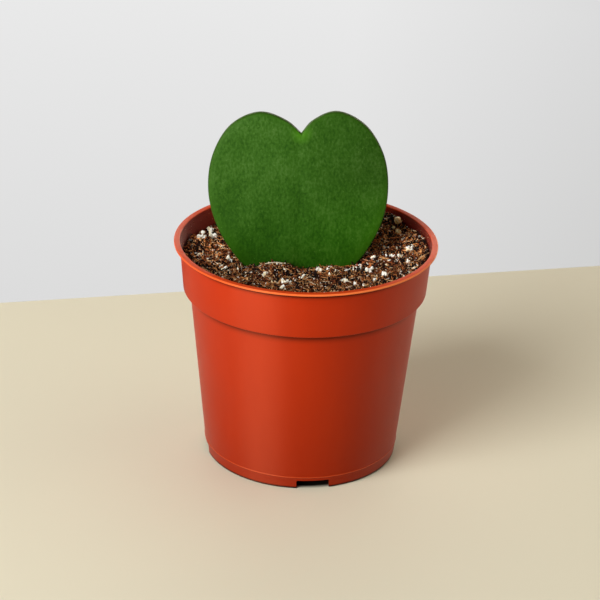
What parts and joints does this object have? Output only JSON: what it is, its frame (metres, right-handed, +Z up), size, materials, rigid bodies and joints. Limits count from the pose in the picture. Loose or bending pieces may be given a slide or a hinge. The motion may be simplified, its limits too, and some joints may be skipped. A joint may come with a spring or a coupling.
{
  "type": "potted hoya plant",
  "caption": "Heart-shaped succulent leaf standing upright in potting mix, in a round terracotta-coloured plastic nursery pot with a flat lip and a notched foot.",
  "frame": {"origin": "centre of the pot's foot ring, on the surface that the pot stands on", "axes": "+Z up along the pot's axis; +X to the right and -Y towards the viewer who faces the front of the leaf"},
  "size_m": [0.105, 0.105, 0.1457],
  "materials": {
    "pot_plastic": "satin injection-moulded polypropylene, terracotta orange",
    "potting_mix": "rough moist peat and coir with bark crumbs and fine perlite",
    "leaf_green": "satin waxy cuticle on a thick green leaf",
    "root": "matt, pale",
    "perlite": "matt, porous, off-white",
    "prill_coat": "smooth beige resin coat"
  },
  "bodies": {
    "root": {"pot": "pot_plastic", "potting_mix": "potting_mix", "leaf": "leaf_green", "roots": "root", "perlite_01": "perlite", "perlite_02": "perlite", "perlite_03": "perlite", "perlite_04": "perlite", "perlite_05": "perlite", "perlite_06": "perlite", "perlite_07": "perlite", "perlite_08": "perlite", "perlite_09": "perlite", "perlite_10": "perlite", "perlite_11": "perlite", "perlite_12": "perlite", "perlite_13": "perlite", "perlite_14": "perlite", "perlite_15": "perlite", "perlite_16": "perlite", "perlite_17": "perlite", "perlite_18": "perlite", "perlite_19": "perlite", "perlite_20": "perlite", "perlite_21": "perlite", "prill_01": "prill_coat", "prill_02": "prill_coat"}
  },
  "joints": []
}
